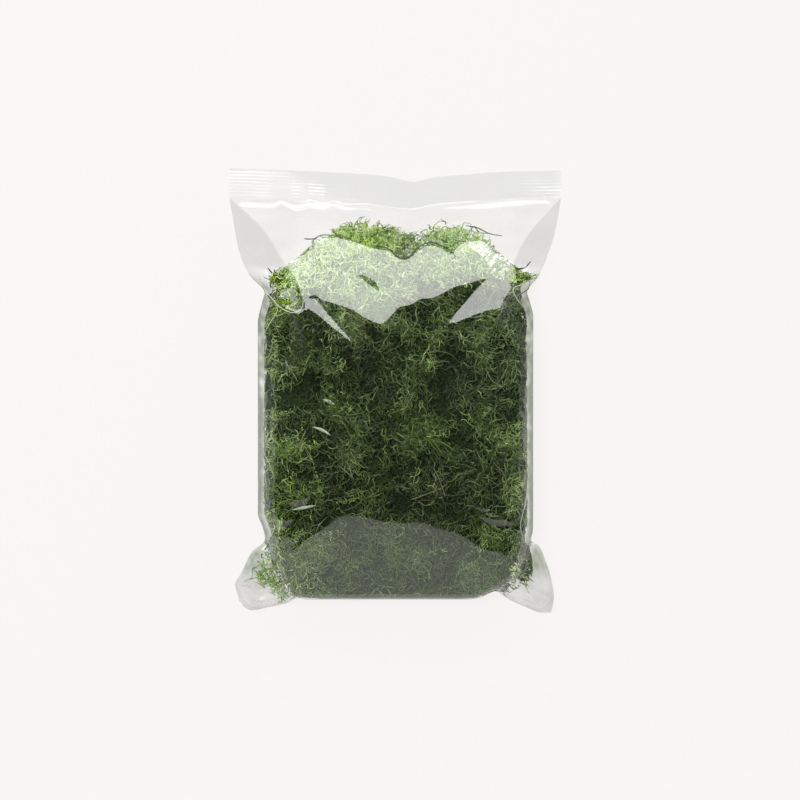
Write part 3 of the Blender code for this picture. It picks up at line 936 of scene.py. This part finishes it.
def moss_corners(name, seed):
    """The tufts in the shoulders and foot corners, and crumbs at the sides."""
    rng = np.random.default_rng(seed)
    tangle = Tangle()
    for (cx, cy), (half_x, half_y), way, count, size, shade, colour in TUFTS:
        angle, far = rng.uniform(0, 2 * math.pi, count), np.sqrt(rng.random(count))
        x, y = cx + half_x * far * np.cos(angle), cy + half_y * far * np.sin(angle)
        top, bottom = ROOM.between(x, y)
        place = np.stack([x, y, bottom + (top - bottom) * rng.uniform(0.4, 0.98, count)], 1)
        heading = np.array([*way, 0]) + rng.normal(0, 0.8, (count, 3)) * [1, 1, 0.2]
        tone = np.clip(shade + rng.normal(0, 0.08, count), 0.1, 1)
        hue = np.clip(colour + rng.normal(0, 0.12, count), -1, 1)
        up, margin = np.tile(UP, (count, 1)), np.full(count, 0.5)
        add_fronds(tangle, place, up, rng, size, margin, tone, hue, heading, 0.8)
    return tangle.make(name)


def smooth_path(places, count):
    """A smooth path of count points through a few given ones."""
    places = np.array(places, float)
    reach = np.concatenate([[0], np.cumsum(np.linalg.norm(np.diff(places, axis=0), axis=1))])
    knots = np.linspace(0, reach[-1], count)
    slopes = np.gradient(places, reach, axis=0)
    index = np.clip(np.searchsorted(reach, knots) - 1, 0, len(reach) - 2)
    span = (reach[index + 1] - reach[index])[:, None]
    share = ((knots - reach[index])[:, None]) / span
    return hermite(share, span, places[index], places[index + 1], slopes[index], slopes[index + 1])


def along_film(places, depth, count=26):
    """A path that keeps a depth below the front film's outer side."""
    path = smooth_path(places, count)
    return np.column_stack([path, film_front(path[:, 0], path[:, 1]) - depth])[None]


# Rolled creases of the film, a dark line of painted shade along a crease, and bits under it, as paths across
# it
PALE_CREASES = (
    ((-74, 63), (-72.4, 58), (-69.2, 52.8), (-65.4, 48.4), (-63.2, 46), (-60, 43.6), (-56, 42),
     (-52.4, 42.2), (-50, 44.4), (-49.4, 48)),
    ((-64, 47), (-63.4, 43.5), (-66.5, 38), (-70.5, 31), (-72.2, 24)),
    ((73.4, 60.2), (68, 57.4), (63.2, 54.6), (64.6, 50.6), (69, 45), (73.2, 39)),
    ((-72.5, -62), (-71, -75), (-66.5, -86), (-66, -91)), ((71.5, -40), (70, -58), (67, -74), (70, -83)),
)
DARK_CREASES = (
    ((-44.6, 76.5), (-44.2, 81.6), (-41, 84), (-35, 84.3), (-27, 83)),
    ((-13, 78.6), (-4, 77), (0, 73.4), (4, 71.5), (8, 73), (13, 78), (19, 80.5), (25, 78.4), (31, 74.6),
     (32.4, 72.6), (30.8, 71.2)),
)
DARK_TWIGS = (
    ((38, 89.7), (44.6, 88.3), (51, 85.2), (57.6, 84)), ((62, 69), (66.8, 65.9), (69.8, 66.6), (73, 70)),
    ((-69, 66.4), (-66.2, 63.2), (-63, 60.5)), ((-65.5, 65.6), (-64.8, 63.2), (-60, 62.4)),
    ((-49.5, 82.4), (-46, 82.2), (-43, 82.6)),
)
BEIGE_STEMS = (
    ((8, -58), (16, -55.2), (24.8, -51.7)), ((21.6, -43.4), (24.2, -49.5), (26.5, -56.5)),
    ((-58.9, 15.7), (-55.5, 10.8), (-52.4, 5.4)), ((-65.1, 36.2), (-63, 32), (-60.8, 28.6)),
    ((3.5, -13), (6.5, -7), (9.4, -2)), ((-12.5, -5), (-10.5, -1), (-9, 1.5)),
    ((-47.5, -21.1), (-50, -26), (-51.9, -31.3)), ((-30, -40), (-26, -43), (-22, -47)),
    ((48, 12), (52, 5), (57, 2)), ((-48, -30), (-44, -37), (-43, -42)), ((52, -38), (58, -45), (60, -53)),
    ((16, 22), (20, 15), (21, 9)),
)
PALE_SLIVERS = (
    ((-38.4, -4.6), (-35.5, -5.6), (-32.6, -7.2)), ((-44, -19.2), (-39.5, -20.6), (-34.4, -23.6)),
    ((-55, -63.4), (-48.5, -62.2), (-42.4, -61)),
)


def make_lines(name, paths, radius, depth, slender):
    """Thin tubes along paths under or on the front film."""
    tangle = Tangle()
    for path, thick in zip(paths, np.broadcast_to(radius, len(paths))):
        tangle.add(along_film(path, depth), np.array([thick]), np.zeros(1), None, 6, slender)
    return tangle.make(name)


def make_pale_slivers():
    """Pale slivers: narrow pointed blades with a folded middle."""
    points, quads = [], []
    for number, path in enumerate(PALE_SLIVERS):
        middle = along_film(path, 0.9, SLIVER_ROWS)[0]
        side = unit(np.cross(np.gradient(middle, axis=0), UP))
        side *= SLIVER_HALF_WIDTH * np.sin(math.pi * np.linspace(0.06, 0.94, SLIVER_ROWS))[:, None]
        rows = [middle - side, middle - [0, 0, 0.35], middle + side, middle - [0, 0, 0.6]]
        points.append(np.stack(rows, 1).reshape(-1, 3))
        base = number * SLIVER_ROWS * 4
        for low in range(base, base + 4 * (SLIVER_ROWS - 1), 4):
            for corner in range(4):
                after = (corner + 1) % 4
                quads.append((low + corner, low + after, low + 4 + after, low + 4 + corner))
        tip = base + 4 * (SLIVER_ROWS - 1)
        quads += [(base + 3, base + 2, base + 1, base), (tip, tip + 1, tip + 2, tip + 3)]
    return mesh_from_arrays("pale_slivers", np.concatenate(points), quads)


def core_surface(across, along, face):
    x, y = moss_point(crowd_to_ends(across, 0.7), crowd_to_ends(along, 0.5))
    ragged = 4.6 + 0.8 * waves(x, y, 0, 9, 45)
    x = np.clip(x, body_side(-1, y) + ragged, body_side(1, y) - ragged)
    y = np.where(y > 0, y * (0.85 + 0.03 * waves(x, 0, 0, 14, 46)), y)
    top, bottom = ROOM.between(x, y)
    middle, half = (top + bottom) / 2, (top - bottom) / 2
    sink = (5.5 + 4.5 * tuft_relief(np.stack([x, y, middle + face * half], -1))) * (1 if face > 0 else 0.4)
    thick = np.maximum(half - sink, 0.3) * from_rim(across, along, 12 if face > 0 else 6)
    return np.stack([x, y, middle + face * np.where(at_rim(across, along), 0, thick)], 1)


def make_moss_core():
    """The clump's inside in painted shade, well below the strands, so that no light comes through its
    middle.
    """
    core = closed_sheet("moss_core", *CORE_CELLS, core_surface)
    places = vertex_places(core) / MM
    # Painted light where light comes in through the head, and a little paler at the foot
    foot = step(2, -8, places[:, 1] - curve(FOOT_FALL, places[:, 0]))
    write_attribute(core, "pale", np.maximum(under_climb(places), 0.22 * foot))
    return core


# Making materials
def set_sockets(tree, node, values):
    """Give each socket a plain value, or link another node's output to it."""
    for socket, value in values.items():
        if isinstance(value, bpy.types.NodeSocket):
            tree.links.new(value, node.inputs[socket])
        else:
            node.inputs[socket].default_value = value


def add_node(tree, kind, values, **settings):
    node = tree.nodes.new("ShaderNode" + kind)
    for name, value in settings.items():
        setattr(node, name, value)
    set_sockets(tree, node, values)
    return node


def calculate(tree, operation, *values):
    return add_node(tree, "Math", dict(enumerate(values)), operation=operation).outputs[0]


def attribute(tree, name):
    return add_node(tree, "Attribute", {}, attribute_name=name).outputs["Fac"]


def object_noise(tree, scale, detail):
    place = add_node(tree, "TexCoord", {}).outputs["Object"]
    return add_node(tree, "TexNoise", {"Vector": place, "Scale": scale, "Detail": detail}).outputs["Fac"]


def shades(tree, share, stops):
    """Colours that change with a share from 0 to 1, given as places and colours."""
    node = add_node(tree, "ValToRGB", {"Fac": share})
    elements = node.color_ramp.elements
    while len(elements) < len(stops):
        elements.new(0.5)
    for element, (place, colour) in zip(elements, stops):
        element.position = place
        element.color = (*colour, 1)
    return node.outputs["Color"]


def mix_colours(tree, share, first, second, blend="MIX"):
    colours = {"Factor": share, "A": first, "B": second}
    return add_node(tree, "Mix", colours, data_type="RGBA", blend_type=blend).outputs["Result"]


def new_material(name):
    material = bpy.data.materials.new(name)
    material.use_nodes = True
    return material, material.node_tree, material.node_tree.nodes["Principled BSDF"]


# The finishes
FILM_PASSES = 0.97
HAZE = 0.05
# The grey-green of the painted shade down the film's steep sides
SIDE_SHADE_TINT = (0.50, 0.55, 0.46, 1)
PALE = (0.956, 0.939, 0.922, 1)
MOSS_TONES = ((0, (0.007, 0.011, 0.006)), (0.3, (0.024, 0.036, 0.016)), (0.5, (0.062, 0.086, 0.042)),
              (0.7, (0.165, 0.215, 0.110)), (0.85, (0.370, 0.460, 0.240)), (1, (0.600, 0.690, 0.450)))
MOSS_CASTS = ((0, (1, 0.86, 0.56)), (0.5, (0.90, 1, 0.78)), (1, (0.70, 0.92, 0.07)))
# The painted shade of the clump's inside, and the painted light on it under the climb
INSIDE_TONES = ((0.35, (0.004, 0.008, 0.003)), (0.75, (0.030, 0.055, 0.018)))
INSIDE_PALE = (0.150, 0.230, 0.075, 1)


def moss_material():
    """Moss strands: a tone from dark hollows to pale tips, with a cast from dry olive to vivid green."""
    material, tree, surface = new_material("moss_strands")
    grain = calculate(tree, "MULTIPLY_ADD", object_noise(tree, 420, 3), 0.34, -0.17)
    # The tone attribute carries painted shade in the hollows and painted light where light comes in through
    # thin moss
    tone = shades(tree, calculate(tree, "ADD", attribute(tree, "tone"), grain), MOSS_TONES)
    cast = shades(tree, calculate(tree, "MULTIPLY_ADD", attribute(tree, "hue"), 0.5, 0.5), MOSS_CASTS)
    colour = mix_colours(tree, 1, tone, cast, "MULTIPLY")
    set_sockets(tree, surface, {"Base Color": colour, "Roughness": 0.62, "Specular IOR Level": 0.35})
    return material


def core_material():
    """The clump's inside in painted shade, paler with painted light where light comes in through the head.
    """
    material, tree, surface = new_material("moss_inside")
    colour = shades(tree, object_noise(tree, 620, 6), INSIDE_TONES)
    colour = mix_colours(tree, attribute(tree, "pale"), colour, INSIDE_PALE)
    set_sockets(tree, surface, {"Base Color": colour, "Roughness": 0.9, "Specular IOR Level": 0.1})
    return material


def film_material(name, grey_colour, mirrors, roughness):
    """Clear film: light goes straight through, less so at grazing angles, where its gloss grows."""
    material, tree, surface = new_material(name)
    tree.nodes.remove(surface)
    facing = add_node(tree, "LayerWeight", {"Blend": 0.5}).outputs["Facing"]

    def at_angle(power, factor, offset):
        return calculate(tree, "MULTIPLY_ADD", calculate(tree, "POWER", facing, power), factor, offset)

    flat_greying = attribute(tree, "greying")
    # Painted shade down the steep sides, greying what shows through towards green-grey, more at grazing
    # angles
    side_shade = calculate(tree, "MULTIPLY", attribute(tree, "side_shade"), at_angle(0.5, 1, 0))
    tint = mix_colours(tree, flat_greying, (1, 1, 1, 1), (*grey_colour, 1))
    tint = mix_colours(tree, side_shade, tint, SIDE_SHADE_TINT)
    passed = add_node(tree, "VectorMath", {0: tint, "Scale": at_angle(3, -FILM_PASSES, FILM_PASSES)},
                      operation="SCALE").outputs[0]
    haze = calculate(tree, "ADD", side_shade, flat_greying)
    shine = calculate(tree, "MULTIPLY_ADD", haze, HAZE, at_angle(5, 0.5, mirrors))
    shine = calculate(tree, "MULTIPLY", shine, calculate(tree, "SUBTRACT", 1, attribute(tree, "dull")))
    clear = add_node(tree, "BsdfTransparent", {"Color": passed})
    gloss = add_node(tree, "BsdfGlossy", {"Color": shine, "Roughness": roughness})
    both = add_node(tree, "AddShader", {0: clear.outputs[0], 1: gloss.outputs[0]})
    tree.links.new(both.outputs[0], tree.nodes["Material Output"].inputs["Surface"])
    return material


def line_material(name, colour, alpha, roughness):
    """Film rolled or folded to a line, less clear: a painted shade when dark and a painted highlight when
    pale.
    """
    material, tree, surface = new_material(name)
    set_sockets(tree, surface, {"Base Color": (*colour, 1), "Alpha": alpha, "Roughness": roughness})
    return material


def bit_material(name, dark, light):
    """Dry stem, twig or pale sliver: streaks between a dark and a light shade."""
    material, tree, surface = new_material(name)
    colour = shades(tree, object_noise(tree, 380, 4), ((0.35, dark), (0.68, light)))
    set_sockets(tree, surface, {"Base Color": colour, "Roughness": 0.6})
    return material


def floor_material():
    material, tree, surface = new_material("pale_floor")
    set_sockets(tree, surface, {"Base Color": (0.06, 0.059, 0.058, 1), "Emission Color": PALE,
                                "Emission Strength": 0.90, "Roughness": 0.9, "Specular IOR Level": 0.1})
    return material


# The studio: sizes in metres, and for each panel its strength, the bearings between which its side fades
# in, and the heights between which its top fades out and its foot fades in
HEAD_PANEL = (3.9, (0.44, 0.56), (0.60, 0.66), (0.02, 0.08))
FOOT_PANEL = (0.66, (0.45, 0.6), (0.62, 0.67), (-0.04, 0))
SIDE_GLOW = 0.35
OVERHEAD_GLOW = 0.03
CAMERA_PLACE = (0.0024, -0.0049, 1.522)
LAMP_PLACE = (-0.35, 0.25, 1.9)
LAMP_SIZE = 0.8
LAMP_POWER = 38


def make_floor():
    deselect()
    bpy.ops.mesh.primitive_plane_add(size=12)
    floor = bpy.context.object
    floor.name = "floor"
    floor.data.materials.append(floor_material())


def make_world():
    """A plain pale backdrop, and soft light from all round it.

    The light is dim overhead, with a bright panel beyond the bag's head, a weak one beyond its foot and a
    pale glow low down at its sides.
    """
    world = bpy.data.worlds.new("studio")
    bpy.context.scene.world = world
    world.use_nodes = True
    tree = world.node_tree
    tree.nodes.clear()

    def rise(value, low, high, top=1):
        values = {"Value": value, "From Min": low, "From Max": high, "To Max": top}
        return add_node(tree, "MapRange", values, interpolation_type="SMOOTHSTEP").outputs[0]

    def fall(value, low, high):
        return calculate(tree, "SUBTRACT", 1, rise(value, low, high))

    def panel(way, strength, side, top, foot):
        lit = calculate(tree, "MULTIPLY", rise(way, *side, strength), fall(up, *top))
        return calculate(tree, "MULTIPLY", lit, rise(up, *foot))

    direction = add_node(tree, "TexCoord", {}).outputs["Generated"]
    split = add_node(tree, "SeparateXYZ", {0: direction}).outputs
    up, ahead = split["Z"], split["Y"]
    flat = calculate(tree, "SUBTRACT", 1, calculate(tree, "MULTIPLY", up, up))
    flat = calculate(tree, "SQRT", calculate(tree, "MAXIMUM", flat, 1e-4))
    bearing = calculate(tree, "DIVIDE", ahead, flat)
    panels = calculate(tree, "ADD", panel(bearing, *HEAD_PANEL),
                       panel(calculate(tree, "MULTIPLY", bearing, -1), *FOOT_PANEL))
    sides = calculate(tree, "MULTIPLY", fall(up, 0.22, 0.42), rise(bearing, -0.9, -0.5, SIDE_GLOW))
    strength = calculate(tree, "ADD", panels, calculate(tree, "ADD", sides, OVERHEAD_GLOW))
    light = add_node(tree, "Background", {"Strength": strength})
    backdrop = add_node(tree, "Background", {"Color": PALE})
    seen = add_node(tree, "LightPath", {}).outputs["Is Camera Ray"]
    mixed = add_node(tree, "MixShader", {0: seen, 1: light.outputs[0], 2: backdrop.outputs[0]})
    add_node(tree, "OutputWorld", {"Surface": mixed.outputs[0]})


def make_overhead_light():
    data = bpy.data.lights.new("overhead", "AREA")
    data.size = LAMP_SIZE
    data.energy = LAMP_POWER
    lamp = bpy.data.objects.new("overhead", data)
    bpy.context.collection.objects.link(lamp)
    lamp.location = LAMP_PLACE
    lamp.rotation_euler = (-lamp.location).to_track_quat("-Z", "Y").to_euler()
    lamp.visible_camera = False
    lamp.visible_glossy = False


def make_camera():
    data = bpy.data.cameras.new("camera")
    data.lens = 125
    data.sensor_width = 36
    camera = bpy.data.objects.new("camera", data)
    bpy.context.collection.objects.link(camera)
    camera.location = CAMERA_PLACE
    bpy.context.scene.camera = camera


# Putting it together
ROOM = Room()
film = make_film()
film.data.materials.append(film_material("clear_film", (0.60, 0.605, 0.60), 0.12, 0.05))
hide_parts("film_front", "film_back")
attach(film, "root")
seal = make_seal()
seal.data.materials.append(film_material("sealed_film", (0.938, 0.943, 0.948), 0.07, 0.25))
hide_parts("head_seal")
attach(seal, "root")

strand_finish = moss_material()
mosses = [moss_body("moss_front_a", 1, 385, 2720, 11), moss_body("moss_front_b", 1, 385, 2720, 12),
          moss_body("moss_front_c", 1, 385, 2720, 13), moss_body("moss_back", -1, 220, 1450, 14),
          moss_rim("moss_rim", 15), moss_corners("moss_corners", 16)]
for piece in mosses:
    piece.data.materials.append(strand_finish)
core = make_moss_core()
core.data.materials.append(core_material())
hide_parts("moss_clump")

# Rolled creases of the film, whose pale colour is a painted highlight
creases = make_lines("film_rolled_creases", PALE_CREASES, (0.36, 0.34, 0.34, 0.30, 0.30), 0.2, 0.5)
creases.data.materials.append(line_material("rolled_film_highlight", (0.58, 0.64, 0.52), 0.54, 0.3))
# A dark tube of painted shade along the front film's crease below the head
edge = make_lines("film_crease_shade", DARK_CREASES, 0.34, 0, 0.5)
edge.data.materials.append(line_material("crease_shade", (0.05, 0.07, 0.05), 0.62, 0.2))
for piece in (creases, edge):
    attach(piece, "root")

twigs = make_lines("dark_twigs", DARK_TWIGS, (0.34, 0.50, 0.46, 0.44, 0.34), 1.4, 0.5)
twigs.data.materials.append(bit_material("bark", (0.020, 0.014, 0.008), (0.080, 0.055, 0.030)))
stems = make_lines("dry_stems", BEIGE_STEMS, 0.25, 0.7, 0.4)
stems.data.materials.append(bit_material("dry_stem", (0.11, 0.105, 0.055), (0.22, 0.21, 0.12)))
slivers = make_pale_slivers()
slivers.data.materials.append(bit_material("pale_sliver", (0.24, 0.29, 0.20), (0.44, 0.49, 0.38)))
for piece in mosses + [core, twigs, stems, slivers]:
    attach(piece, "root")

make_floor()
make_world()
make_overhead_light()
make_camera()
bpy.context.scene.view_settings.view_transform = "Standard"
